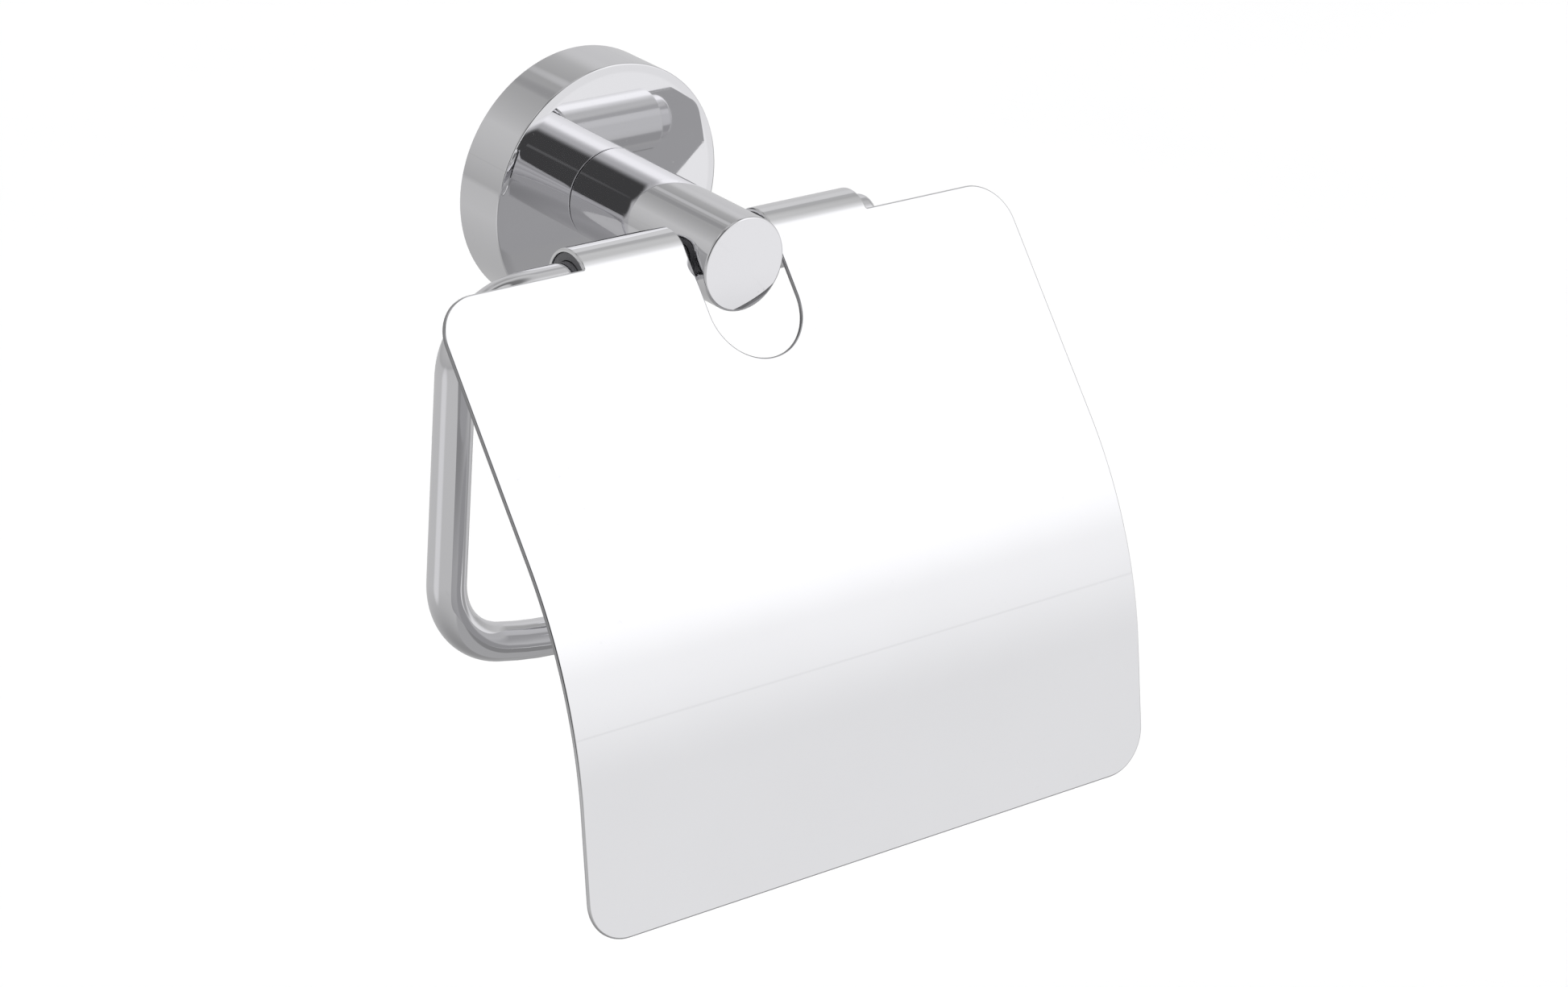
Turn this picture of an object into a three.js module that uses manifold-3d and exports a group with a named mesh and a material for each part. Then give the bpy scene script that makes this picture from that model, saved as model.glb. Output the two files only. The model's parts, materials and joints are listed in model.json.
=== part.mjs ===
// Wall-mounted toilet paper holder with a hinged lid.
// Millimetres. X runs to the right along the wall, Y runs into the wall, Z is up.
// The origin is the centre of the wall bracket's back face.

import * as THREE from 'three';
import { mergeVertices } from 'three/addons/utils/BufferGeometryUtils.js';
import Module from 'manifold-3d';

const wasm = await Module();
wasm.setup();

// ---------------------------------------------------------------- fits
const fitGap = 0.3; // between pieces that touch
const notchClearance = 1.0; // each side of the post, in the lid's notch
const bracketClearance = 2.0; // wall bracket to the inside of the rosette
const pocketClearance = 0.6; // around the post screw's head and washer
const grubRecess = 0.5; // set screws sit this far below the surface
const overrun = 2; // how far a cutting tool passes the surface it starts from
const blendOverrun = 0.1; // the same for a tool that rounds an edge off

// ---------------------------------------------------------------- rosette, bracket and post
const rosetteDiameter = 55;
const rosetteDepth = 13;
const rosetteSkirt = 3; // wall of the rim
const rosetteFace = 2.4; // wall of the front
const rosetteEdge = 0.4; // chamfer between rim and front
const crownRadius = 12; // the front falls off softly towards its edge
const crownFall = THREE.MathUtils.degToRad(9.5);

const bracketThickness = 8;
const wallHoleDiameter = 5;
const wallHoleSpacing = 29;
const countersinkDepth = 2.5;

const postDiameter = 19.6;
const postLength = 44.2;
const postEdge = 0.6; // rounding of the front end

const postScrewDiameter = 6;
const postScrewReach = 14; // length inside the post
const postScrewHead = { diameter: 11, height: 3, round: 1, socket: 4, socketDepth: 1.8 };
const washer = { diameter: 12, thickness: 1 };
const grubScrew = { diameter: 4, socket: 2, socketDepth: 1.6 };

// ---------------------------------------------------------------- roll bar
const barDiameter = 8;
const barSetback = 10.4; // bar axis behind the post's front end
const barDrop = 0.4; // bar axis below the post's axis
const barReach = 60.8; // post axis to the axis of the hanging leg
const barHang = 76; // upper run to lower run, axis to axis
const topEase = { radius: 31, angle: THREE.MathUtils.degToRad(9.6) };
const topBendRadius = 14.3;
const lowBendRadius = 16.7;
const lowEase = { radius: 82, angle: THREE.MathUtils.degToRad(13.2) };
const lowRunRight = 36; // where the lower run starts to turn up
const tipBend = { radius: 20, angle: THREE.MathUtils.degToRad(24) };
const tipLength = 5;
const tipRound = 3;
const barStep = 3; // length of one piece of the bend

const knobLip = 0.7; // knob beyond the bar, all round
const knobLength = 3.6;
const knobRound = 1.2;
const spigotDiameter = 4;
const spigotLength = 8;

// ---------------------------------------------------------------- lid
const lidWidth = 141.4;
const sheet = 0.8;
const bushWall = 1.15;
const curlLength = 24.4;
const curlWrap = THREE.MathUtils.degToRad(300);
const slopeAngle = THREE.MathUtils.degToRad(49.7); // below the horizontal
const slopeLength = 52.5;
const frontRadius = 94.5; // outer face, between slope and skirt
const skirtAngle = THREE.MathUtils.degToRad(79.1);
const skirtLength = 26.6;
const lidCorner = 9;
const notchDepth = 25.2; // from the lid's top edge

// ---------------------------------------------------------------- places
const quarterTurn = Math.PI / 2;

const rosetteRadius = rosetteDiameter / 2;
const rosetteRear = -fitGap;
const rosetteFront = rosetteRear - rosetteDepth;
const rosetteInside = rosetteFront + rosetteFace;
const rosetteBore = rosetteRadius - rosetteSkirt;
const bracketRadius = rosetteBore - bracketClearance;
const bracketFront = -bracketThickness;
const rosetteGrubY = bracketFront / 2;
const rosetteGrubTop = bracketRadius + fitGap;

const postRadius = postDiameter / 2;
const postRear = rosetteFront - fitGap;
const postFront = postRear - postLength;

const washerFront = rosetteInside + fitGap;
const washerRear = washerFront + washer.thickness;
const headFront = washerRear + fitGap;
const headRear = headFront + postScrewHead.height;
const pocketFloor = headRear + pocketClearance;

const barRadius = barDiameter / 2;
const knobRadius = barRadius + knobLip;
const barY = postFront + barSetback;
const barZ = -barDrop;
const barGrubTop = barRadius + barDrop + fitGap;

const bushBore = barRadius + fitGap;
const bushRadius = bushBore + bushWall;
const curlBore = bushRadius + fitGap;
const curlRadius = curlBore + sheet;
const notchHalf = postRadius + notchClearance;
const curlEnd = notchHalf + curlLength;
const barRight = curlEnd + fitGap;
const knobLeft = barRight + fitGap;

// ---------------------------------------------------------------- materials
function metal(color, roughness) {
  return new THREE.MeshStandardMaterial({ color, roughness, metalness: 1 });
}

const chrome = () => metal(0xd9d9dc, 0.06);
const zinc = () => metal(0x9a9b9d, 0.45);
const steel = () => metal(0xa9abad, 0.35);
const darkPlastic = () => new THREE.MeshStandardMaterial({ color: 0x5a5a5e, roughness: 0.55 });

// ---------------------------------------------------------------- solids
const weldDistance = 1e-4;

function toSolid(geometry) {
  const bare = geometry.clone();
  bare.deleteAttribute('normal');
  bare.deleteAttribute('uv');
  const merged = mergeVertices(bare, weldDistance);
  const vertProperties = new Float32Array(merged.attributes.position.array);
  const triVerts = new Uint32Array(merged.index.array);
  return new wasm.Manifold(new wasm.Mesh({ numProp: 3, vertProperties, triVerts }));
}

function toGeometry(solid) {
  const { vertProperties, triVerts } = solid.getMesh();
  const geometry = new THREE.BufferGeometry();
  geometry.setAttribute('position', new THREE.BufferAttribute(vertProperties, 3));
  geometry.setIndex(new THREE.BufferAttribute(triVerts, 1));
  geometry.computeVertexNormals();
  return geometry;
}

// Cuts every tool out of a geometry.
function cut(geometry, tools) {
  const solid = tools.reduce((body, tool) => body.subtract(toSolid(tool)), toSolid(geometry));
  return toGeometry(solid);
}

// Turns a profile of [radius, height] points about the Y axis. It runs from low Y to high Y outside.
function turned(profile, segments = 48) {
  const points = profile.map(([radius, height]) => new THREE.Vector2(radius, height));
  return new THREE.LatheGeometry(points, segments);
}

// A ring profile closes on itself.
function turnedRing(profile, segments = 48) {
  return turned([...profile, profile[0]], segments);
}

function rod(radius, from, to, segments = 24) {
  return turned([[0, from], [radius, from], [radius, to], [0, to]], segments);
}

// Profile points along an arc, its ends included.
function arc(centreRadius, centreHeight, round, startAngle, sweep, steps) {
  const points = [];
  for (let i = 0; i <= steps; i += 1) {
    const angle = startAngle + (i / steps) * sweep;
    points.push([centreRadius + round * Math.cos(angle), centreHeight + round * Math.sin(angle)]);
  }
  return points;
}

function quarter(centreRadius, centreHeight, round, startAngle, steps = 5) {
  return arc(centreRadius, centreHeight, round, startAngle, quarterTurn, steps);
}

// Puts a geometry made along Y onto another axis: +Y goes to +X, or to -Z.
const alongX = (geometry) => geometry.rotateZ(-quarterTurn);
const alongDown = (geometry) => geometry.rotateX(-quarterTurn);

// A flat outline in the world's Y and Z, extruded along X from one place to another.
function extrudedAlongX(shape, from, to, curveSegments = 12) {
  const depth = to - from;
  const geometry = new THREE.ExtrudeGeometry(shape, { depth, bevelEnabled: false, curveSegments });
  const axes = new THREE.Matrix4().makeBasis(
    new THREE.Vector3(0, 1, 0),
    new THREE.Vector3(0, 0, 1),
    new THREE.Vector3(1, 0, 0),
  );
  return geometry.applyMatrix4(axes).translate(from, 0, 0);
}

const holder = new THREE.Group();

function add(name, geometry, material) {
  const mesh = new THREE.Mesh(geometry, material);
  mesh.name = name;
  holder.add(mesh);
}

// ---------------------------------------------------------------- wall bracket
function wallBracket() {
  const pocketRadius = Math.max(postScrewHead.diameter, washer.diameter) / 2 + pocketClearance;
  const disc = turned([
    [0, pocketFloor],
    [pocketRadius, pocketFloor],
    [pocketRadius, bracketFront],
    [bracketRadius, bracketFront],
    [bracketRadius, 0],
    [0, 0],
  ]);
  const holeRadius = wallHoleDiameter / 2;
  const tools = [-1, 1].map((side) => {
    const tool = turned([
      [0, bracketFront - overrun],
      [holeRadius + countersinkDepth + overrun, bracketFront - overrun],
      [holeRadius, bracketFront + countersinkDepth],
      [holeRadius, overrun],
      [0, overrun],
    ], 24);
    return tool.translate((side * wallHoleSpacing) / 2, 0, 0);
  });
  return cut(disc, tools);
}

// ---------------------------------------------------------------- rosette and post
function rosette() {
  const screwHole = postScrewDiameter / 2 + fitGap;
  const crownEdge = rosetteRadius - rosetteEdge;
  const crownStart = crownEdge - crownRadius * Math.sin(crownFall);
  const crownCentre = rosetteFront + crownRadius;
  const edgeFront = crownCentre - crownRadius * Math.cos(crownFall);
  const cup = turnedRing([
    [screwHole, rosetteFront],
    ...arc(crownStart, crownCentre, crownRadius, -quarterTurn, crownFall, 3),
    [rosetteRadius, edgeFront + rosetteEdge],
    [rosetteRadius, rosetteRear],
    [rosetteBore, rosetteRear],
    [rosetteBore, rosetteInside],
    [screwHole, rosetteInside],
  ], 72);
  const grubRadius = grubScrew.diameter / 2 + fitGap;
  const grubHole = alongDown(rod(grubRadius, rosetteBore - overrun, rosetteRadius + overrun));
  return cut(cup, [grubHole.translate(0, rosetteGrubY, 0)]);
}

function post() {
  const body = turned([
    [0, postFront],
    ...quarter(postRadius - postEdge, postFront + postEdge, postEdge, -quarterTurn),
    [postRadius, postRear],
    [0, postRear],
  ], 60);
  const crossHole = alongX(rod(barRadius + fitGap, -postRadius - overrun, postRadius + overrun, 32));
  const screwEnd = postRear - postScrewReach - fitGap;
  const screwHole = rod(postScrewDiameter / 2 + fitGap, screwEnd, postRear + overrun);
  const grubHole = alongDown(rod(grubScrew.diameter / 2 + fitGap, 0, postRadius + overrun));
  return cut(body, [crossHole.translate(0, barY, barZ), screwHole, grubHole.translate(0, barY, 0)]);
}

// ---------------------------------------------------------------- screws
// A hexagon socket sunk into a screw that ends at the given height.
function socketTool(acrossFlats, end, depth) {
  return rod(acrossFlats / Math.sqrt(3), end - depth, end + overrun, 6);
}

function postScrew() {
  const { diameter, height, round, socket, socketDepth } = postScrewHead;
  const shank = postScrewDiameter / 2;
  const body = turned([
    [0, postRear - postScrewReach],
    [shank, postRear - postScrewReach],
    [shank, headFront],
    [diameter / 2, headFront],
    ...quarter(diameter / 2 - round, headFront + height - round, round, 0, 3),
    [0, headRear],
  ], 36);
  return cut(body, [socketTool(socket, headRear, socketDepth)]);
}

function postWasher() {
  const bore = postScrewDiameter / 2 + fitGap;
  return turnedRing([
    [bore, washerFront],
    [washer.diameter / 2, washerFront],
    [washer.diameter / 2, washerRear],
    [bore, washerRear],
  ], 36);
}

// A set screw from one distance below the axis to another, with its socket at the lower end.
function setScrew(top, bottom, y) {
  const body = rod(grubScrew.diameter / 2, top, bottom);
  const screw = cut(body, [socketTool(grubScrew.socket, bottom, grubScrew.socketDepth)]);
  return alongDown(screw).translate(0, y, 0);
}

// ---------------------------------------------------------------- roll bar
// An arc in the plane of the bar.
class Bend extends THREE.Curve {
  constructor(centre, radius, startAngle, sweep) {
    super();
    Object.assign(this, { centre, radius, startAngle, sweep });
  }

  getPoint(t, target = new THREE.Vector3()) {
    const angle = this.startAngle + t * this.sweep;
    const across = this.radius * Math.cos(angle);
    const up = this.radius * Math.sin(angle);
    return target.set(this.centre.x + across, this.centre.y, this.centre.z + up);
  }
}

// Draws the bar's centre line by runs and left-hand bends, from its upper right end.
class BarPath {
  constructor(start, heading) {
    this.at = start;
    this.heading = heading;
    this.path = new THREE.CurvePath();
  }

  run(length) {
    const forward = new THREE.Vector3(Math.cos(this.heading), 0, Math.sin(this.heading));
    const end = this.at.clone().addScaledVector(forward, length);
    this.path.add(new THREE.LineCurve3(this.at, end));
    this.at = end;
    return this;
  }

  bend(radius, angle) {
    const side = new THREE.Vector3(-Math.sin(this.heading), 0, Math.cos(this.heading));
    const centre = this.at.clone().addScaledVector(side, radius);
    const bend = new Bend(centre, radius, this.heading - quarterTurn, angle);
    this.path.add(bend);
    this.at = bend.getPoint(1);
    this.heading += angle;
    return this;
  }
}

// How far a right-angled bend with its easing reaches along the run that it leaves.
function bendAcross(ease, radius) {
  return ease.radius * Math.sin(ease.angle) + radius * (1 - Math.sin(ease.angle));
}

// How far it reaches away from that run.
function bendDown(ease, radius) {
  return ease.radius * (1 - Math.cos(ease.angle)) + radius * Math.cos(ease.angle);
}

const topBendAcross = bendAcross(topEase, topBendRadius);
const topBendDown = bendDown(topEase, topBendRadius);
const lowBendAcross = bendAcross(lowEase, lowBendRadius);
const lowBendDown = bendDown(lowEase, lowBendRadius);

function barCentreLine() {
  return new BarPath(new THREE.Vector3(barRight, barY, barZ), Math.PI)
    .run(barRight + barReach - topBendAcross)
    .bend(topEase.radius, topEase.angle)
    .bend(topBendRadius, quarterTurn - topEase.angle)
    .run(barHang - topBendDown - lowBendDown)
    .bend(lowBendRadius, quarterTurn - lowEase.angle)
    .bend(lowEase.radius, lowEase.angle)
    .run(barReach - lowBendAcross + lowRunRight)
    .bend(tipBend.radius, tipBend.angle)
    .run(tipLength);
}

function rollBar() {
  const line = barCentreLine();
  const section = new THREE.Shape();
  section.absarc(0, 0, barRadius, 0, 2 * Math.PI);
  const steps = Math.round(line.path.getLength() / barStep);
  const bar = new THREE.ExtrudeGeometry(section, { extrudePath: line.path, steps, curveSegments: 9 });

  const holeEnd = barRight - spigotLength - fitGap;
  const spigotHole = alongX(rod(spigotDiameter / 2 + fitGap, holeEnd, barRight + overrun));
  const tipTool = alongX(turnedRing([
    [barRadius - tipRound, overrun],
    [barRadius + overrun, overrun],
    [barRadius + overrun, -tipRound],
    ...quarter(barRadius - tipRound, -tipRound, tipRound + blendOverrun, 0),
  ].reverse(), 32));
  tipTool.rotateY(-tipBend.angle).translate(line.at.x, line.at.y, line.at.z);
  return cut(bar, [spigotHole.translate(0, barY, barZ), tipTool]);
}

function barKnob() {
  const spigotLeft = barRight - spigotLength;
  const knobRight = knobLeft + knobLength;
  const profile = [
    [0, spigotLeft],
    [spigotDiameter / 2, spigotLeft],
    [spigotDiameter / 2, knobLeft],
    [knobRadius, knobLeft],
    ...quarter(knobRadius - knobRound, knobRight - knobRound, knobRound, 0),
    [0, knobRight],
  ];
  return alongX(turned(profile, 36)).translate(0, barY, barZ);
}

// ---------------------------------------------------------------- lid
// The lid's side view: a distance along the sheet and a height off its outer face give Y and Z.
const slopeAlong = new THREE.Vector2(-Math.cos(slopeAngle), -Math.sin(slopeAngle));
const slopeOut = new THREE.Vector2(-Math.sin(slopeAngle), Math.cos(slopeAngle));
const skirtAlong = new THREE.Vector2(-Math.cos(skirtAngle), -Math.sin(skirtAngle));
const skirtOut = new THREE.Vector2(-Math.sin(skirtAngle), Math.cos(skirtAngle));
const hinge = new THREE.Vector2(barY, barZ);
const slopeTop = hinge.clone().addScaledVector(slopeOut, curlRadius);
const slopeEnd = slopeTop.clone().addScaledVector(slopeAlong, slopeLength);
const frontCentre = slopeEnd.clone().addScaledVector(slopeOut, -frontRadius);
const skirtTop = frontCentre.clone().addScaledVector(skirtOut, frontRadius);
const lidFoot = skirtTop.clone().addScaledVector(skirtAlong, skirtLength);

function lidProfile() {
  const outAngle = slopeOut.angle();
  const skirtTurn = outAngle + skirtAngle - slopeAngle;
  const shape = new THREE.Shape();
  shape.absarc(hinge.x, hinge.y, curlRadius, outAngle - curlWrap, outAngle, false);
  shape.absarc(frontCentre.x, frontCentre.y, frontRadius, outAngle, skirtTurn, false);
  shape.lineTo(lidFoot.x, lidFoot.y);
  shape.lineTo(lidFoot.x - sheet * skirtOut.x, lidFoot.y - sheet * skirtOut.y);
  shape.absarc(frontCentre.x, frontCentre.y, frontRadius - sheet, skirtTurn, outAngle, true);
  shape.absarc(hinge.x, hinge.y, curlBore, outAngle, outAngle - curlWrap, true);
  return shape;
}

// A tool drawn on the sheet (across, down from an edge) and pushed through it from front to back.
function sheetTool(shape, origin, along, out, front, back) {
  const depth = front - back;
  const tool = new THREE.ExtrudeGeometry(shape, { depth, bevelEnabled: false, curveSegments: 12 });
  const axes = new THREE.Matrix4().makeBasis(
    new THREE.Vector3(-1, 0, 0),
    new THREE.Vector3(0, along.x, along.y),
    new THREE.Vector3(0, out.x, out.y),
  );
  axes.setPosition(0, origin.x + back * out.x, origin.y + back * out.y);
  return tool.applyMatrix4(axes);
}

function rectangle(left, right, top, bottom) {
  const shape = new THREE.Shape();
  shape.moveTo(left, top).lineTo(right, top).lineTo(right, bottom).lineTo(left, bottom);
  return shape;
}

// What is outside a rounded corner of the sheet. Its edge is at 0, and outward (-1 or 1) points off it.
function cornerShape(side, outward) {
  const centre = new THREE.Vector2(side * (lidWidth / 2 - lidCorner), -outward * lidCorner);
  const sideX = side * (lidWidth / 2 + overrun);
  const outY = outward * overrun;
  const shape = new THREE.Shape();
  shape.moveTo(centre.x, outY);
  const startAngle = (outward * Math.PI) / 2;
  const endAngle = side > 0 ? 0 : outward * Math.PI;
  shape.absarc(centre.x, centre.y, lidCorner, startAngle, endAngle, side * outward > 0);
  shape.lineTo(sideX, centre.y).lineTo(sideX, outY);
  return shape;
}

function lid() {
  const halfWidth = lidWidth / 2;
  const underSheet = -2 * sheet;
  const pastCurl = 4 * curlRadius;
  const tools = [];

  const notch = new THREE.Shape();
  notch.moveTo(-notchHalf, -pastCurl).lineTo(notchHalf, -pastCurl);
  notch.absarc(0, notchDepth - notchHalf, notchHalf, 0, Math.PI, false);
  tools.push(sheetTool(notch, slopeTop, slopeAlong, slopeOut, overrun, -pastCurl));

  for (const side of [-1, 1]) {
    const [left, right] = [side * curlEnd, side * (halfWidth + overrun)].sort((a, b) => a - b);
    const aboveEdge = rectangle(left, right, -pastCurl, 0);
    const curlFront = rectangle(left, right, -overrun, 2 * curlRadius);
    const topCorner = cornerShape(side, -1);
    const footCorner = cornerShape(side, 1);
    tools.push(sheetTool(aboveEdge, slopeTop, slopeAlong, slopeOut, overrun, -pastCurl));
    tools.push(sheetTool(curlFront, slopeTop, slopeAlong, slopeOut, underSheet, -pastCurl));
    tools.push(sheetTool(topCorner, slopeTop, slopeAlong, slopeOut, overrun, underSheet));
    tools.push(sheetTool(footCorner, lidFoot, skirtAlong, skirtOut, overrun, underSheet));
  }
  return cut(extrudedAlongX(lidProfile(), -halfWidth, halfWidth, 40), tools);
}

function hingeBush(side) {
  const inner = notchHalf + fitGap;
  const outer = curlEnd - fitGap;
  const bush = turnedRing([
    [bushBore, inner],
    [bushRadius, inner],
    [bushRadius, outer],
    [bushBore, outer],
  ], 40);
  return alongX(bush).rotateY(side > 0 ? 0 : Math.PI).translate(0, barY, barZ);
}

// ---------------------------------------------------------------- assembly
add('wall_bracket', wallBracket(), zinc());
add('rosette', rosette(), chrome());
add('post', post(), chrome());
add('post_washer', postWasher(), steel());
add('post_screw', postScrew(), steel());
add('rosette_set_screw', setScrew(rosetteGrubTop, rosetteRadius - grubRecess, rosetteGrubY), steel());
add('bar_set_screw', setScrew(barGrubTop, postRadius - grubRecess, barY), steel());
add('roll_bar', rollBar(), chrome());
add('bar_knob', barKnob(), chrome());
add('lid', lid(), chrome());
add('hinge_bush_left', hingeBush(-1), darkPlastic());
add('hinge_bush_right', hingeBush(1), darkPlastic());

export default holder;
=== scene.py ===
# Looks for the wall-mounted toilet paper holder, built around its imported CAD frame.
# Metres. X runs to the right along the wall, Y into the wall, Z up.
import json
import math

import bmesh
import bpy
from mathutils import Matrix, Vector


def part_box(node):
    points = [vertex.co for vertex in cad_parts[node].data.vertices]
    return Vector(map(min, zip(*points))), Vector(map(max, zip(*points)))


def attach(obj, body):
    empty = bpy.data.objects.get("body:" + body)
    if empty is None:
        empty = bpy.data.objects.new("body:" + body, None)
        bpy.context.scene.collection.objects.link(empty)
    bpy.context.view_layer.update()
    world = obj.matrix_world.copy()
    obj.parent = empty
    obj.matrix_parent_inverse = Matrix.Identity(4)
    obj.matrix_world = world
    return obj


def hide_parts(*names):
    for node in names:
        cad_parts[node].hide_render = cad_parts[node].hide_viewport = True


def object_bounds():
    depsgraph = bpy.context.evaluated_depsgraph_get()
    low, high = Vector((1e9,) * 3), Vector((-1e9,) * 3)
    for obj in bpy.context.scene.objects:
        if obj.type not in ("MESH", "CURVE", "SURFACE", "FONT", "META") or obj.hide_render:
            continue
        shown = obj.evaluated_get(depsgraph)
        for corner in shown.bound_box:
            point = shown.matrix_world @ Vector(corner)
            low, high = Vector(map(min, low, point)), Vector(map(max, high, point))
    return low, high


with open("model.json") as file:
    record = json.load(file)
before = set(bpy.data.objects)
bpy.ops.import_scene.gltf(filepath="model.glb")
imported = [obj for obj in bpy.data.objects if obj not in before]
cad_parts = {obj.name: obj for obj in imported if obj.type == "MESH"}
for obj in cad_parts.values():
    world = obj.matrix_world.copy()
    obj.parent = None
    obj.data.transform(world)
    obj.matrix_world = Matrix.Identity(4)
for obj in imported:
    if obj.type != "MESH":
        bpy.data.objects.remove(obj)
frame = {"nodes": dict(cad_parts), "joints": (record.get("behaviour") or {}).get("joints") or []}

CAD_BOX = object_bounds()
MM = 0.001

# ---------------------------------------------------------------- sizes from the frame
hinge = next(joint for joint in frame["joints"] if joint["name"] == "lid_hinge")
HINGE_Y, HINGE_Z = hinge["pos_m"][1], hinge["pos_m"][2]


def radius_of(node):
    """Half the height of a round node whose axis is level."""
    low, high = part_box(node)
    return (high.z - low.z) / 2


ROSETTE_R = radius_of("rosette")
ROSETTE_FRONT, ROSETTE_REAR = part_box("rosette")[0].y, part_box("rosette")[1].y
POST_R = radius_of("post")
POST_FRONT, POST_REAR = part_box("post")[0].y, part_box("post")[1].y
BRACKET_R = radius_of("wall_bracket")
BRACKET_FRONT, BRACKET_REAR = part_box("wall_bracket")[0].y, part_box("wall_bracket")[1].y
BAR_R = (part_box("roll_bar")[1].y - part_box("roll_bar")[0].y) / 2
BAR_LEFT, BAR_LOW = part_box("roll_bar")[0].x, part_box("roll_bar")[0].z
BAR_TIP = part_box("roll_bar")[1].x
KNOB_R = radius_of("bar_knob")
KNOB_SPIGOT, KNOB_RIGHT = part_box("bar_knob")[0].x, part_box("bar_knob")[1].x
BUSH_R = radius_of("hinge_bush_right")
BUSH_INNER, BUSH_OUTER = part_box("hinge_bush_right")[0].x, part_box("hinge_bush_right")[1].x
LID_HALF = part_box("lid")[1].x

# ---------------------------------------------------------------- sizes of the shapes themselves
# They follow the CAD, which the frame holds only as meshes. Names that end in _R, _BORE or _HOLE are radii.
GAP = 0.3 * MM  # clearance between neighbouring pieces

ROSETTE_SKIRT = 3 * MM  # wall of the cup round the bracket
ROSETTE_FACE = 2.4 * MM  # thickness of the cup's front
ROSETTE_EDGE = 0.35 * MM
ROSETTE_CROWN = 12 * MM  # radius in which the front falls off towards its edge
ROSETTE_FALL = math.radians(9.5)  # how far it has turned there
SCREW_HOLE = 3.3 * MM  # for the post's screw

POST_EDGE = 0.5 * MM
POST_REAR_EDGE = POST_EDGE / 3
BAR_BORE = BAR_R + GAP
GRUB_R = 2 * MM  # both set screws
GRUB_HOLE = GRUB_R + GAP

BRACKET_EDGE = 0.4 * MM
BRACKET_POCKET = 6.6 * MM  # radius of the pocket round the screw's head
BRACKET_POCKET_FLOOR = -5.7 * MM
WALL_HOLE = 2.5 * MM
WALL_HOLE_SINK = 2.5 * MM  # depth of the countersink, and how much wider it starts
WALL_HOLE_PLACE = 14.5 * MM  # to each side of the middle

# the bar's bends: a radius with its angle, or a radius that turns through what is left of a right angle
TOP_EASE = (31 * MM, math.radians(9.6))
TOP_BEND = 14.3 * MM
LOW_BEND = 16.7 * MM
LOW_EASE = (82 * MM, math.radians(13.2))
LOW_RUN_RIGHT = 36 * MM  # where the lower run ends, right of the middle
TIP_BEND = (20 * MM, math.radians(24))
TIP_ROUND = 3 * MM
BAR_END_EDGE = 0.5 * MM

KNOB_LENGTH = 3.6 * MM
KNOB_ROUND = 1.2 * MM
KNOB_EDGE = 0.4 * MM
SPIGOT_R = 2 * MM

SHEET = 0.8 * MM
CURL_R = BUSH_R + GAP + SHEET
CURL_WRAP = math.radians(300)
SLOPE_ANGLE = math.radians(49.7)  # below level, as is the skirt's
SLOPE_LENGTH = 52.5 * MM
FRONT_R = 94.5 * MM  # the large curve between slope and skirt
SKIRT_ANGLE = math.radians(79.1)
SKIRT_LENGTH = 26.6 * MM
FRONT_LENGTH = FRONT_R * (SKIRT_ANGLE - SLOPE_ANGLE)
LID_LENGTH = SLOPE_LENGTH + FRONT_LENGTH + SKIRT_LENGTH
CURL_LENGTH = CURL_R * CURL_WRAP
CURL_END = BUSH_OUTER + GAP
LID_CORNER = 9 * MM
TONGUE_CORNER = 1.5 * MM
TONGUE_RELIEF = 0.3 * MM  # rounding between a tongue and the lid's top edge
NOTCH_DEPTH = 25.2 * MM  # down the sheet from its top edge
NOTCH_HALF = BUSH_INNER - GAP
ROLLED_EDGE = 0.4 * MM  # rounding of the sheet's outer rim
BURR_EDGE = 0.12 * MM  # and of its inner rim
ROUNDING_WEIGHT = 0.02  # of a rim's rounding in the normal of a vertex, next to a flat face

# The lid's cut rims are darkened, partly as unplated steel and partly with painted shade.
BARE_SHADED_EDGE_ATTRIBUTE = "bare_shaded_edge"  # attribute that says how bare the sheet's steel is, and how much painted shade darkens its rims
BARE_SHADED_EDGE_END = 62 * MM  # fully bare and fully painted dark down to here,
BARE_SHADED_EDGE_FADE = 35 * MM  # then fading over this length,
BARE_SHADED_EDGE_LOST = 0.65  # until this much of the bareness and painted shade is gone

BUSH_EDGE = 0.2 * MM

SHARP = math.radians(50)
TINY = 0.0001 * MM


# ---------------------------------------------------------------- mesh tools
def new_object(name, data):
    piece = bpy.data.objects.new(name, data)
    bpy.context.scene.collection.objects.link(piece)
    return piece


def from_bmesh(name, bm):
    bmesh.ops.recalc_face_normals(bm, faces=bm.faces)
    mesh = bpy.data.meshes.new(name)
    bm.to_mesh(mesh)
    bm.free()
    return new_object(name, mesh)


def shade(piece):
    """Smooth faces that stay flat where they are flat."""
    piece.data.shade_smooth()
    piece.data.set_sharp_from_angle(angle=SHARP)
    modifier = piece.modifiers.new("weighted normals", "WEIGHTED_NORMAL")
    modifier.keep_sharp = True
    return piece


def apply_modifiers(piece):
    """Bakes a piece's modifiers into its mesh."""
    depsgraph = bpy.context.evaluated_depsgraph_get()
    mesh = bpy.data.meshes.new_from_object(piece.evaluated_get(depsgraph))
    piece.modifiers.clear()
    piece.data = mesh
    return piece


def arc(centre, radius, start, end, steps):
    """Profile points of an arc; angles in degrees."""
    points = []
    for i in range(steps + 1):
        angle = math.radians(start + (end - start) * i / steps)
        points.append((centre[0] + radius * math.cos(angle), centre[1] + radius * math.sin(angle)))
    return points


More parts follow.
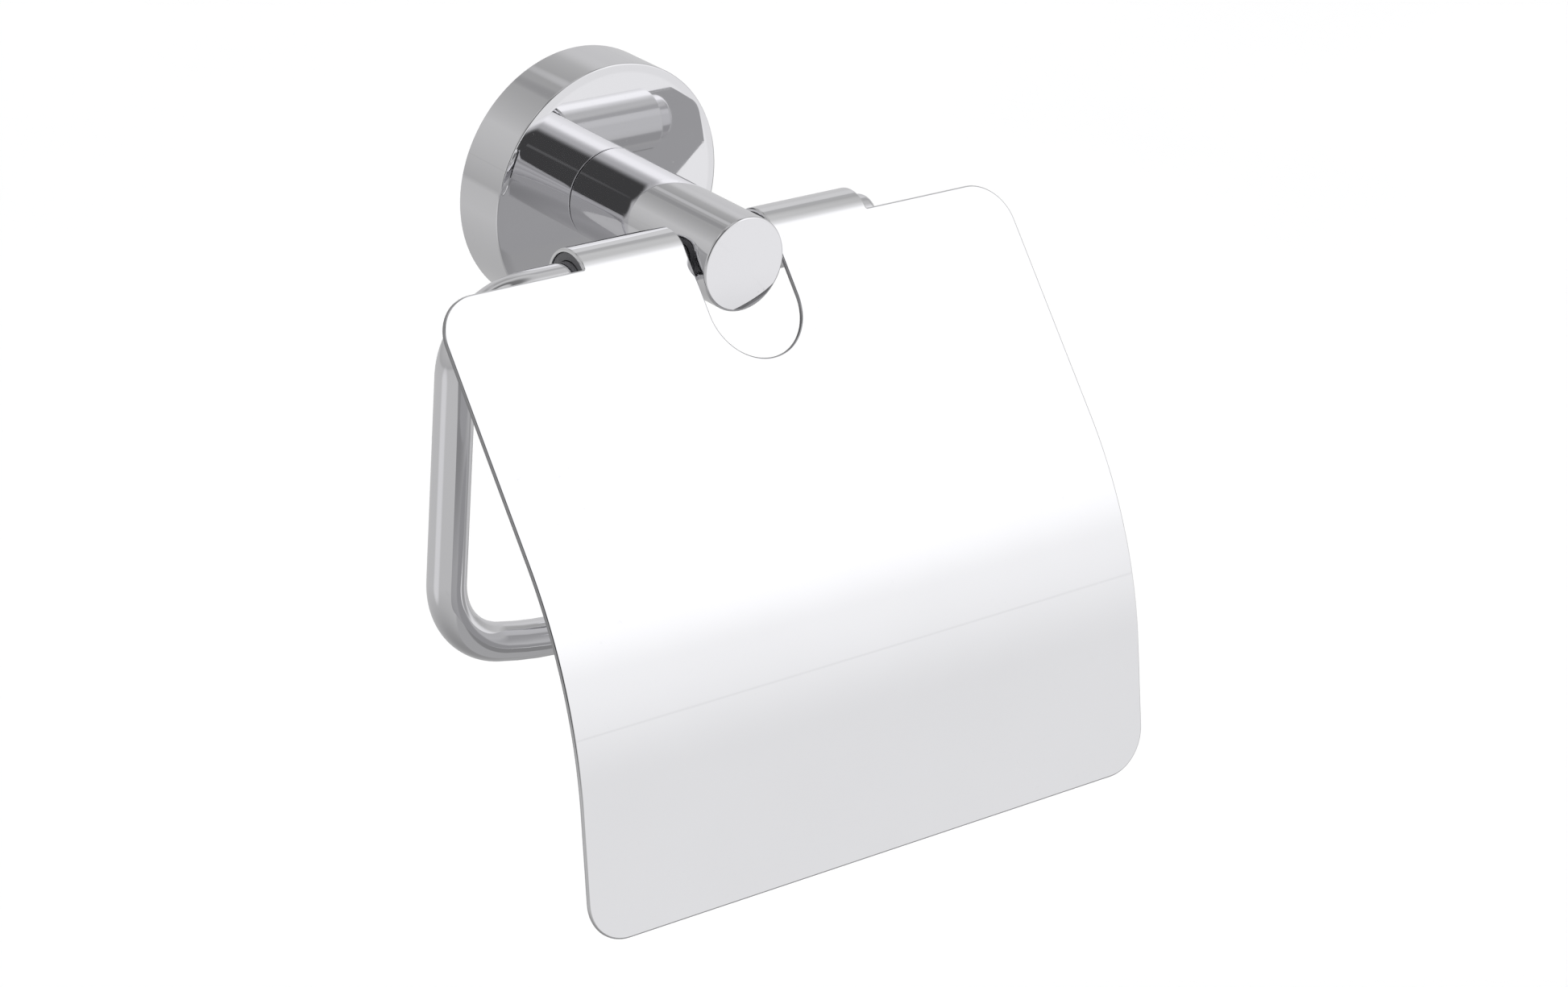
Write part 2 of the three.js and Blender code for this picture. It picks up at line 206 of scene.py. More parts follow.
def lathe(name, profile, segments=128, closed=False):
    """Turns (radius, height) points about Y. An open profile starts and ends on the axis."""
    bm = bmesh.new()
    rings = []
    for radius, height in profile:
        if radius < TINY:
            rings.append([bm.verts.new((0, height, 0))])
            continue
        ring = []
        for i in range(segments):
            angle = 2 * math.pi * i / segments
            ring.append(bm.verts.new((radius * math.sin(angle), height, radius * math.cos(angle))))
        rings.append(ring)
    pairs = list(zip(rings, rings[1:]))
    if closed:
        pairs.append((rings[-1], rings[0]))
    for lower, upper in pairs:
        for i in range(segments):
            j = (i + 1) % segments
            corners = [lower[i % len(lower)], lower[j % len(lower)]]
            corners += [upper[j % len(upper)], upper[i % len(upper)]]
            bm.faces.new(list(dict.fromkeys(corners)))
    return from_bmesh(name, bm)


def turn(piece, axis, angle, place=(0, 0, 0)):
    """Turns a piece about the origin, then moves it."""
    piece.data.transform(Matrix.Translation(place) @ Matrix.Rotation(angle, 4, axis))
    return piece


def along_x(piece, place=(0, 0, 0)):
    """Puts a piece turned about Y onto the X axis, +Y to +X."""
    return turn(piece, "Z", -math.pi / 2, place)


def along_down(piece, place=(0, 0, 0)):
    """Puts a piece turned about Y onto the Z axis, +Y to -Z."""
    return turn(piece, "X", -math.pi / 2, place)


def plug(radius, start, end, segments=64):
    """A round tool to cut with, along Y."""
    return lathe("tool", [(0, start), (radius, start), (radius, end), (0, end)], segments)


def cut(piece, tools):
    """Subtracts each tool from the piece and throws the tool away."""
    for tool in tools:
        modifier = piece.modifiers.new("cut", "BOOLEAN")
        modifier.operation = "DIFFERENCE"
        modifier.solver = "EXACT"
        modifier.object = tool
    apply_modifiers(piece)
    for tool in tools:
        bpy.data.objects.remove(tool)
    return piece


# ---------------------------------------------------------------- node materials
class Tree:
    """A short way to write a node tree."""

    def __init__(self, tree):
        self.tree = tree

    def add(self, kind, **settings):
        node = self.tree.nodes.new(kind)
        for key, value in settings.items():
            setattr(node, key, value)
        return node

    def link(self, source, target):
        self.tree.links.new(source, target)

    def remap(self, source, low, high, to_low, to_high, blend="LINEAR"):
        node = self.add("ShaderNodeMapRange", interpolation_type=blend)
        node.inputs["From Min"].default_value = low
        node.inputs["From Max"].default_value = high
        node.inputs["To Min"].default_value = to_low
        node.inputs["To Max"].default_value = to_high
        self.link(source, node.inputs["Value"])
        return node.outputs["Result"]

    def math(self, operation, first, second):
        node = self.add("ShaderNodeMath", operation=operation)
        for socket, value in zip(node.inputs, (first, second)):
            if isinstance(value, (int, float)):
                socket.default_value = value
            else:
                self.link(value, socket)
        return node.outputs["Value"]

    def colours(self, factor, first, second):
        """Goes from the first colour to the second. Either one is a constant or a node's output."""
        node = self.add("ShaderNodeMix", data_type="RGBA")
        self.link(factor, node.inputs["Factor"])
        for name, colour in (("A", first), ("B", second)):
            if isinstance(colour, bpy.types.NodeSocket):
                self.link(colour, node.inputs[name])
            else:
                node.inputs[name].default_value = (*colour, 1)
        return node.outputs["Result"]


class Material(Tree):
    """A material's node tree, with patterns that stay on the piece."""

    def __init__(self, name, metallic=0.0):
        self.material = bpy.data.materials.new(name)
        self.material.use_nodes = True
        super().__init__(self.material.node_tree)
        self.shader = self.tree.nodes["Principled BSDF"]
        self.shader.inputs["Metallic"].default_value = metallic
        self.place = self.add("ShaderNodeTexCoord").outputs["Object"]

    def noise(self, scale, detail=3, roughness=0.5, stretch=(1, 1, 1), distortion=0.0):
        mapping = self.add("ShaderNodeMapping")
        mapping.inputs["Scale"].default_value = stretch
        self.link(self.place, mapping.inputs["Vector"])
        node = self.add("ShaderNodeTexNoise")
        node.inputs["Scale"].default_value = scale
        node.inputs["Detail"].default_value = detail
        node.inputs["Roughness"].default_value = roughness
        node.inputs["Distortion"].default_value = distortion
        self.link(mapping.outputs["Vector"], node.inputs["Vector"])
        return node.outputs["Fac"]

    def bump(self, height, distance, strength, normal=None):
        node = self.add("ShaderNodeBump")
        node.inputs["Strength"].default_value = strength
        node.inputs["Distance"].default_value = distance
        self.link(height, node.inputs["Height"])
        if normal is not None:
            self.link(normal, node.inputs["Normal"])
        return node.outputs["Normal"]

    def surface(self, colour, roughness, normal=None):
        """Drives the shader and gives back the finished material."""
        self.link(colour, self.shader.inputs["Base Color"])
        self.link(roughness, self.shader.inputs["Roughness"])
        if normal is not None:
            self.link(normal, self.shader.inputs["Normal"])
        return self.material


# ---------------------------------------------------------------- materials
CLOUDED = 0.965  # how bright the plate is where it is clouded
EDGE_POINTINESS = (0.53, 0.62)  # from flat to a well worn edge
SPECK_ROUGHNESS = 0.16
# colour of the cut rims: unplated steel, darkened further with painted shade
BARE_STEEL_AND_PAINTED_SHADE = (0.38, 0.38, 0.39)
BARE_ROUGHNESS = 0.22


def chrome(name, tint, dull, wave_scale, wave_depth, stretch=(1, 1, 1)):
    """Polished plate: faint waves, hairline polishing marks, smudges, specks, softer edges, and cut rims
    darkened as unplated steel with painted shade.
    """
    nodes = Material(name, metallic=1.0)
    cloud = nodes.noise(35, 4, 0.6)
    hairlines = nodes.noise(260, 6, 0.7, stretch)
    smudges = nodes.noise(18, 3, 0.55, distortion=0.6)
    pointed = nodes.add("ShaderNodeNewGeometry").outputs["Pointiness"]
    bare_shaded_edge = nodes.add("ShaderNodeAttribute", attribute_name=BARE_SHADED_EDGE_ATTRIBUTE).outputs["Fac"]

    plated = nodes.colours(cloud, [channel * CLOUDED for channel in tint], tint)
    # the cut rims take a dark colour that is partly unplated steel and partly painted shade
    colour = nodes.colours(bare_shaded_edge, plated, BARE_STEEL_AND_PAINTED_SHADE)

    marks = nodes.remap(hairlines, 0.35, 0.75, 0, dull * 0.5)
    patches = nodes.remap(smudges, 0.45, 0.75, dull * 0.4, dull * 1.4)
    worn = nodes.math("MULTIPLY", nodes.remap(pointed, *EDGE_POINTINESS, 0, 1), dull)
    specks = nodes.remap(nodes.noise(900, 2, 0.5), 0.69, 0.76, 0, SPECK_ROUGHNESS)
    bare_shaded_rim = nodes.math("MULTIPLY", bare_shaded_edge, BARE_ROUGHNESS)
    roughness = marks
    for more in (patches, worn, specks, bare_shaded_rim):
        roughness = nodes.math("ADD", roughness, more)

    waves = nodes.bump(nodes.noise(wave_scale, 1, 0.4), wave_depth, 1.0)
    scratches = nodes.bump(hairlines, 0.002 * MM, 0.35, waves)
    return nodes.surface(colour, roughness, scratches)


def dark_plastic():
    """Moulded dark grey sleeve with a fine grain."""
    nodes = Material("bush plastic")
    grain = nodes.noise(1400, 5, 0.6)
    cloud = nodes.noise(120, 3, 0.5)
    return nodes.surface(
        nodes.colours(cloud, (0.10, 0.10, 0.105), (0.15, 0.15, 0.16)),
        nodes.remap(grain, 0.3, 0.7, 0.42, 0.6),
        nodes.bump(grain, 0.02 * MM, 0.5),
    )


def cast_zinc():
    """Die-cast bracket: mottled grey with a granular skin."""
    nodes = Material("cast zinc", metallic=1.0)
    mottle = nodes.noise(90, 6, 0.65)
    grain = nodes.noise(900, 4, 0.6)
    skin = nodes.bump(mottle, 0.08 * MM, 0.5)
    return nodes.surface(
        nodes.colours(mottle, (0.52, 0.53, 0.54), (0.70, 0.71, 0.72)),
        nodes.remap(grain, 0.3, 0.7, 0.4, 0.58),
        nodes.bump(grain, 0.03 * MM, 0.6, skin),
    )


def screw_steel():
    """Plain steel screws with turning marks and a little staining."""
    nodes = Material("screw steel", metallic=1.0)
    stain = nodes.noise(300, 5, 0.6)
    marks = nodes.noise(500, 4, 0.6, (1, 12, 12))
    return nodes.surface(
        nodes.colours(stain, (0.36, 0.36, 0.37), (0.56, 0.56, 0.57)),
        nodes.remap(marks, 0.3, 0.7, 0.26, 0.42),
        nodes.bump(marks, 0.01 * MM, 0.5),
    )


# tint, dullness, scale and depth of the waves, and the way the polishing marks run
PLATE = chrome("chrome plate", (0.86, 0.857, 0.876), 0.035, 30, 0.01 * MM, (1, 0.05, 1))
BAR_PLATE = chrome("chrome bar", (0.85, 0.847, 0.867), 0.045, 26, 0.03 * MM, (0.05, 1, 1))
LID_PLATE = chrome("chromed sheet", (0.875, 0.875, 0.888), 0.035, 16, 0.06 * MM, (0.05, 1, 1))
PLASTIC = dark_plastic()
ZINC = cast_zinc()
STEEL = screw_steel()


def finish_piece(piece, body, material, slot, *replaced):
    """Gives a piece its material, hangs it on the empty of the body it rides on, and hides the CAD nodes it
    stands for.
    """
    piece.data.materials.clear()
    piece.data.materials.append(material)
    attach(piece, body)
    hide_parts(*replaced)
    return piece


# ---------------------------------------------------------------- rosette, post and bracket
def make_rosette():
    bore = ROSETTE_R - ROSETTE_SKIRT
    inside = ROSETTE_FRONT + ROSETTE_FACE
    edge, rear_edge = ROSETTE_EDGE, ROSETTE_EDGE / 2
    tilt = math.degrees(ROSETTE_FALL) - 90
    sine, cosine = math.sin(ROSETTE_FALL), math.cos(ROSETTE_FALL)
    crown_start = ROSETTE_R - edge * cosine - (ROSETTE_CROWN + edge) * sine
    edge_depth = ROSETTE_FRONT + ROSETTE_CROWN * (1 - cosine) + edge * cosine
    profile = [(SCREW_HOLE, ROSETTE_FRONT)]
    profile += arc((crown_start, ROSETTE_FRONT + ROSETTE_CROWN), ROSETTE_CROWN, -90, tilt, 12)
    profile += arc((ROSETTE_R - edge, edge_depth), edge, tilt, 0, 6)[1:]
    profile += arc((ROSETTE_R - rear_edge, ROSETTE_REAR - rear_edge), rear_edge, 0, 90, 4)
    profile += arc((bore + rear_edge, ROSETTE_REAR - rear_edge), rear_edge, 90, 180, 4)
    profile += [(bore, inside), (SCREW_HOLE, inside)]
    rosette = lathe("rosette_shell", profile, 192, closed=True)
    hole = along_down(plug(GRUB_HOLE, bore / 2, ROSETTE_R * 1.2), (0, BRACKET_FRONT / 2, 0))
    shade(cut(rosette, [hole]))
    return finish_piece(rosette, "holder", PLATE, "chrome", "rosette")


def make_post():
    rear = POST_REAR + GAP / 2
    rear_edge = POST_REAR_EDGE
    profile = [(0, POST_FRONT)]
    profile += arc((POST_R - POST_EDGE, POST_FRONT + POST_EDGE), POST_EDGE, -90, 0, 7)
    profile += arc((POST_R - rear_edge, rear - rear_edge), rear_edge, 0, 90, 4)
    profile += [(0, rear)]
    post = lathe("post_barrel", profile, 160)
    cross = along_x(plug(BAR_BORE, -2 * POST_R, 2 * POST_R), (0, HINGE_Y, HINGE_Z))
    grub = along_down(plug(GRUB_HOLE, 0, 2 * POST_R), (0, HINGE_Y, 0))
    shade(cut(post, [cross, grub]))
    return finish_piece(post, "holder", PLATE, "chrome", "post")


def make_bracket():
    edge = BRACKET_EDGE
    profile = [
        (0, BRACKET_POCKET_FLOOR),
        (BRACKET_POCKET, BRACKET_POCKET_FLOOR),
        (BRACKET_POCKET, BRACKET_FRONT),
    ]
    profile += arc((BRACKET_R - edge, BRACKET_FRONT + edge), edge, -90, 0, 4)
    profile += arc((BRACKET_R - edge, BRACKET_REAR - edge), edge, 0, 90, 4)
    profile += [(0, BRACKET_REAR)]
    bracket = lathe("bracket_disc", profile, 128)
    holes = []
    for side in (-1, 1):
        hole = lathe("tool", [
            (0, BRACKET_FRONT - MM),
            (WALL_HOLE + WALL_HOLE_SINK + MM, BRACKET_FRONT - MM),
            (WALL_HOLE, BRACKET_FRONT + WALL_HOLE_SINK),
            (WALL_HOLE, BRACKET_REAR + MM),
            (0, BRACKET_REAR + MM),
        ], 48)
        holes.append(turn(hole, "Z", 0, (side * WALL_HOLE_PLACE, 0, 0)))
    shade(cut(bracket, holes))
    return finish_piece(bracket, "holder", ZINC, "zinc", "wall_bracket")


# ---------------------------------------------------------------- roll bar
def bar_line():
    """The bar's centre line as (x, z, heading) stations, from its upper right end."""
    x, z, heading = CURL_END + GAP, HINGE_Z, math.pi
    stations = [(x, z, heading)]

    def run(length, steps=1):
        nonlocal x, z
        for _ in range(steps):
            x += length / steps * math.cos(heading)
            z += length / steps * math.sin(heading)
            stations.append((x, z, heading))

    def bend(radius, angle):
        nonlocal x, z, heading
        centre_x = x - radius * math.sin(heading)
        centre_z = z + radius * math.cos(heading)
        start = heading
        steps = max(4, round(math.degrees(angle) / 3))
        for i in range(1, steps + 1):
            heading = start + angle * i / steps
            x = centre_x + radius * math.sin(heading)
            z = centre_z - radius * math.cos(heading)
            stations.append((x, z, heading))

    # how far a bend that eases in reaches along the upper or lower run, and along the leg
    def across(ease, radius):
        return ease[0] * math.sin(ease[1]) + radius * (1 - math.sin(ease[1]))

    def down(ease, radius):
        return ease[0] * (1 - math.cos(ease[1])) + radius * math.cos(ease[1])

    reach = -(BAR_LEFT + BAR_R)
    hang = HINGE_Z - (BAR_LOW + BAR_R)
    run(x + reach - across(TOP_EASE, TOP_BEND), 6)
    bend(*TOP_EASE)
    bend(TOP_BEND, math.pi / 2 - TOP_EASE[1])
    run(hang - down(TOP_EASE, TOP_BEND) - down(LOW_EASE, LOW_BEND), 4)
    bend(LOW_BEND, math.pi / 2 - LOW_EASE[1])
    bend(*LOW_EASE)
    run(reach - across(LOW_EASE, LOW_BEND) + LOW_RUN_RIGHT, 6)
    bend(*TIP_BEND)
    return stations, heading


def bar_rings():
    """Rings (x, z, heading, radius) along the bar, with a rounded tip on its lower end."""
    stations, heading = bar_line()
    start_x, start_z, start_heading = stations[0]
    rings = [(*stations[0], BAR_R - BAR_END_EDGE)]
    rings.append((start_x - BAR_END_EDGE, start_z, start_heading, BAR_R))
    rings += [(*station, BAR_R) for station in stations[1:]]
    tip_x, tip_z, _ = stations[-1]
    tip_reach = (BAR_TIP - tip_x - BAR_R * math.sin(heading)) / math.cos(heading)
    round_start = max(tip_reach, TIP_ROUND + MM) - TIP_ROUND
    for forward, radius in arc((round_start, BAR_R - TIP_ROUND), TIP_ROUND, 90, 0, 12):
        place = (tip_x + forward * math.cos(heading), tip_z + forward * math.sin(heading))
        rings.append((*place, heading, radius))
    return rings


def make_bar():
    around = 64
    depth = Vector((0, 1, 0))
    bm = bmesh.new()
    loops = []
    for x, z, heading, radius in bar_rings():
        side = Vector((-math.sin(heading), 0, math.cos(heading)))
        centre = Vector((x, HINGE_Y, z))
        loop = []
        for i in range(around):
            angle = 2 * math.pi * i / around
            loop.append(bm.verts.new(centre + radius * (math.cos(angle) * side + math.sin(angle) * depth)))
        loops.append(loop)
    for first, second in zip(loops, loops[1:]):
        for i in range(around):
            j = (i + 1) % around
            bm.faces.new((first[i], first[j], second[j], second[i]))
    bm.faces.new(loops[0])
    bm.faces.new(loops[-1])
    bar = from_bmesh("roll_bar_rod", bm)
    hole = plug(SPIGOT_R + GAP, KNOB_SPIGOT - GAP, CURL_END + 3 * MM, 48)
    shade(cut(bar, [along_x(hole, (0, HINGE_Y, HINGE_Z))]))
    return finish_piece(bar, "holder", BAR_PLATE, "chrome", "roll_bar")


def make_knob():
    left = KNOB_RIGHT - KNOB_LENGTH
    profile = [(0, KNOB_SPIGOT), (SPIGOT_R, KNOB_SPIGOT), (SPIGOT_R, left)]
    profile += arc((KNOB_R - KNOB_EDGE, left + KNOB_EDGE), KNOB_EDGE, -90, 0, 5)
    profile += arc((KNOB_R - KNOB_ROUND, KNOB_RIGHT - KNOB_ROUND), KNOB_ROUND, 0, 90, 10)
    profile += [(0, KNOB_RIGHT)]
    knob = along_x(lathe("bar_knob_cap", profile, 96), (0, HINGE_Y, HINGE_Z))
    return finish_piece(shade(knob), "holder", BAR_PLATE, "chrome", "bar_knob")


# ---------------------------------------------------------------- lid
def along(angle):
    """Down the lid where its slope has this angle."""
    return Vector((0, -math.cos(angle), -math.sin(angle)))


def out_of(angle):
    """Off the lid's outer face where its slope has this angle."""
    return Vector((0, -math.sin(angle), math.cos(angle)))


def sheet_point(x, s, depth):
    """Bends a point of the flat sheet into place, and says which way is out of the sheet there.

    s runs down the lid from its top edge, and depth is off its outer face.
    """
    centre = Vector((x, HINGE_Y, HINGE_Z))
    if s < 0:
        out = out_of(SLOPE_ANGLE + s / CURL_R)
        return centre + (CURL_R + depth) * out, out
    top = centre + CURL_R * out_of(SLOPE_ANGLE)
    if s <= SLOPE_LENGTH:
        out = out_of(SLOPE_ANGLE)
        return top + s * along(SLOPE_ANGLE) + depth * out, out
    slope_end = top + SLOPE_LENGTH * along(SLOPE_ANGLE)
    front_centre = slope_end - FRONT_R * out_of(SLOPE_ANGLE)
    if s <= SLOPE_LENGTH + FRONT_LENGTH:
        out = out_of(SLOPE_ANGLE + (s - SLOPE_LENGTH) / FRONT_R)
        return front_centre + (FRONT_R + depth) * out, out
    out = out_of(SKIRT_ANGLE)
    past = s - SLOPE_LENGTH - FRONT_LENGTH
    return front_centre + (FRONT_R + depth) * out + past * along(SKIRT_ANGLE), out


def lid_outline():
    """The flat sheet's right half: from the notch's lowest point, up round its tongue, down to its foot."""
    tip, relief = TONGUE_CORNER, TONGUE_RELIEF
    points = [(x, NOTCH_DEPTH - NOTCH_HALF + y) for x, y in arc((0, 0), NOTCH_HALF, 90, 0, 24)]
    points += arc((NOTCH_HALF + tip, -CURL_LENGTH + tip), tip, 180, 270, 6)
    points += arc((CURL_END - tip, -CURL_LENGTH + tip), tip, 270, 360, 6)
    points += [(CURL_END, -relief)]
    points += arc((CURL_END + relief, -relief), relief, 180, 90, 4)[1:]
    points += arc((LID_HALF - LID_CORNER, LID_CORNER), LID_CORNER, 270, 360, 16)
    points += arc((LID_HALF - LID_CORNER, LID_LENGTH - LID_CORNER), LID_CORNER, 0, 90, 16)
    return points


def flat_sheet():
    """The lid's sheet before it is bent, with its rims rounded."""
    right = lid_outline()
    left = [(-x, s) for x, s in reversed(right[1:])]
    bm = bmesh.new()
    bm.faces.new([bm.verts.new((x, s, 0)) for x, s in right + left])
    made = bmesh.ops.extrude_face_region(bm, geom=list(bm.faces))
    lower = [item for item in made["geom"] if isinstance(item, bmesh.types.BMVert)]
    bmesh.ops.translate(bm, verts=lower, vec=(0, 0, -SHEET))
    bmesh.ops.recalc_face_normals(bm, faces=bm.faces)
    for height, offset, segments in ((0, ROLLED_EDGE, 4), (-SHEET, BURR_EDGE, 2)):
        rim = []
        for edge in bm.edges:
            if all(abs(vertex.co.z - height) < TINY for vertex in edge.verts):
                rim.append(edge)
        bmesh.ops.bevel(bm, geom=rim, offset=offset, segments=segments, profile=0.5, affect="EDGES")
    return bm


def cut_across(bm):
    """Gives the flat sheet its lines to bend at, close together where it curves."""
    lines = [-CURL_LENGTH * (1 - i / 90) for i in range(1, 91)]
    lines += [SLOPE_LENGTH + FRONT_LENGTH * i / 48 for i in range(49)]
    lines += [SLOPE_LENGTH * i / 8 for i in range(1, 8)]
    lines += [LID_LENGTH - SKIRT_LENGTH * i / 4 for i in range(1, 4)]
    for line in lines:
        parts = bm.verts[:] + bm.edges[:] + bm.faces[:]
        bmesh.ops.bisect_plane(bm, geom=parts, plane_co=(0, line, 0), plane_no=(0, 1, 0), dist=TINY)
    bmesh.ops.triangulate(bm, faces=[face for face in bm.faces if len(face.verts) > 4])


def flat_normals(bm):
    """A normal for each vertex, which keeps the sheet's faces flat right up to their rounded rims."""
    bm.normal_update()
    normals = []
    for vertex in bm.verts:
        total = Vector((0, 0, 0))
        for face in vertex.link_faces:
            square = abs(face.normal.z) > 0.99 or abs(face.normal.z) < 0.01
            total += face.normal * (1 if square else ROUNDING_WEIGHT)
        normals.append(total.normalized())
    return normals


def bareness_and_painted_shade(s, flat_normal):
    """How bare the steel is and how much painted shade darkens it: only on the cut rims, and less so
    towards the lid's foot.
    """
    if s <= SHEET:
        return 0
    # the darkening fades out towards the lid's foot, where the painted shade ends
    faded = min(max((s - BARE_SHADED_EDGE_END) / BARE_SHADED_EDGE_FADE, 0), 1)
    return (1 - BARE_SHADED_EDGE_LOST * faded) * (1 - abs(flat_normal.z) ** 4)


def make_lid():
    bm = flat_sheet()
    cut_across(bm)
    flats = flat_normals(bm)
    bmesh.ops.reverse_faces(bm, faces=bm.faces)  # since bending mirrors the sheet: s runs down, not up
    mesh = bpy.data.meshes.new("lid_sheet")
    bm.to_mesh(mesh)
    bm.free()
    across = Vector((1, 0, 0))
    normals, bare_shaded_rim = [], []
    for vertex, flat in zip(mesh.vertices, flats):
        bare_shaded_rim.append(bareness_and_painted_shade(vertex.co.y, flat))
        vertex.co, out = sheet_point(*vertex.co)
        normals.append((flat.x * across + flat.y * across.cross(out) + flat.z * out).normalized())
    mesh.shade_smooth()
    mesh.normals_split_custom_set_from_vertices(normals)
    # the rims' bare steel and painted shade, stored for the lid's material
    bare_shaded_edge = mesh.attributes.new(BARE_SHADED_EDGE_ATTRIBUTE, "FLOAT", "POINT")
    bare_shaded_edge.data.foreach_set("value", bare_shaded_rim)
    return finish_piece(new_object("lid_sheet", mesh), "lid", LID_PLATE, "lid_chrome", "lid")


def make_bush(side, name):
    """A sleeve that fills most of the gaps which the CAD leaves inside and outside it."""
    bore = BAR_BORE - 0.7 * GAP
    outer = BUSH_R + 0.8 * GAP
    edge = BUSH_EDGE
    profile = arc((bore + edge, BUSH_INNER + edge), edge, 180, 270, 3)
    profile += arc((outer - edge, BUSH_INNER + edge), edge, 270, 360, 3)
    profile += arc((outer - edge, BUSH_OUTER - edge), edge, 0, 90, 3)
    profile += arc((bore + edge, BUSH_OUTER - edge), edge, 90, 180, 3)
    bush = along_x(lathe(name + "_sleeve", profile, 96, closed=True))
    turn(bush, "Z", 0 if side > 0 else math.pi, (0, HINGE_Y, HINGE_Z))
    return finish_piece(shade(bush), "lid", PLASTIC, "bush_plastic", name)


make_rosette()
make_post()
make_bracket()
make_bar()
make_knob()
make_lid()
make_bush(-1, "hinge_bush_left")
make_bush(1, "hinge_bush_right")

for node in ("post_screw", "post_washer", "rosette_set_screw", "bar_set_screw"):
    frame["nodes"][node].data.materials.clear()
    frame["nodes"][node].data.materials.append(STEEL)


# ---------------------------------------------------------------- floor, light and camera
FLOOR_HALF = 12.0
FLOOR_DROP = 0.45

# height (-1 down, 1 up) and how bright the studio is there
STUDIO_HEIGHTS = [
    (-1, 0.30), (-0.84, 0.40), (-0.66, 0.48), (-0.40, 0.56), (-0.17, 0.54),
    (-0.12, 0.44), (0.06, 0.50), (0.30, 0.56), (0.42, 0.58), (0.52, 0.50),
    (0.60, 0.44), (0.66, 0.39), (0.72, 0.40), (0.80, 0.62), (0.86, 0.55),
    (0.91, 0.22), (0.95, 0.18), (0.965, 0.6), (1, 0.7),
]
# azimuth, elevation, half-angle of the core, half-angle of the rim, brightness
# Each is laid over the ones before it.
STUDIO_CARDS = [
    (138, 4, 8, 34, 0.62),
    (134, 33, 3, 16, 0.68),
    (122, 44, 2, 8, 0.46),
    (170, 42, 1, 4, 0.54),
    (-175, 43, 1, 5, 0.32),
    (-96, -24, 6, 20, 0.72),
    (46, -8, 28, 46, 0.84),
    (38, -20, 3, 8, 0.90),
    (40, -52, 26, 30, 0.40),
    (42, -34, 9, 13, 0.25),
    (72, -24, 6, 14, 0.36),
    (126, -38, 12, 20, 0.36),
    (45, 30, 4, 38, 1.03),
    (46, 33, 5, 20, 1.2),
    (0, 41, 5, 27, 0.5),
    (-37, 14, 13, 22, 0.06),
    (-20, 33, 15, 27, 0.06),
    (-30, 28, 1, 3, 0.12),
]
CARD_BLUE = 1.01  # blue over red and green, on every card

# the thin darker line where the studio's wall meets its floor
SEAM_HEIGHT = math.sin(math.radians(5))
SEAM_HALF = 0.0035
SEAM_BRIGHTNESS = 0.93

BACKDROP = 1.05  # just over white, so that the camera sees it plain white


def pale_floor():
    low = CAD_BOX[0]
    mesh = bpy.data.meshes.new("floor")
    corners = [(-1, -1), (1, -1), (1, 1), (-1, 1)]
    height = low[2] - FLOOR_DROP
    mesh.from_pydata([(FLOOR_HALF * x, FLOOR_HALF * y, height) for x, y in corners], [], [(0, 1, 2, 3)])
    floor = new_object("floor", mesh)
    nodes = Material("pale floor")
    cloud = nodes.noise(3, 3, 0.5)
    colour = nodes.colours(cloud, (0.93, 0.93, 0.93), (0.95, 0.95, 0.95))
    mesh.materials.append(nodes.surface(colour, nodes.remap(cloud, 0.3, 0.7, 0.85, 0.95)))
    floor.visible_glossy = False


def direction(azimuth, elevation):
    """From the object outwards. Azimuth 0 is the front, positive to the right."""
    a, e = math.radians(azimuth), math.radians(elevation)
    return Vector((math.sin(a) * math.cos(e), -math.cos(a) * math.cos(e), math.sin(e)))


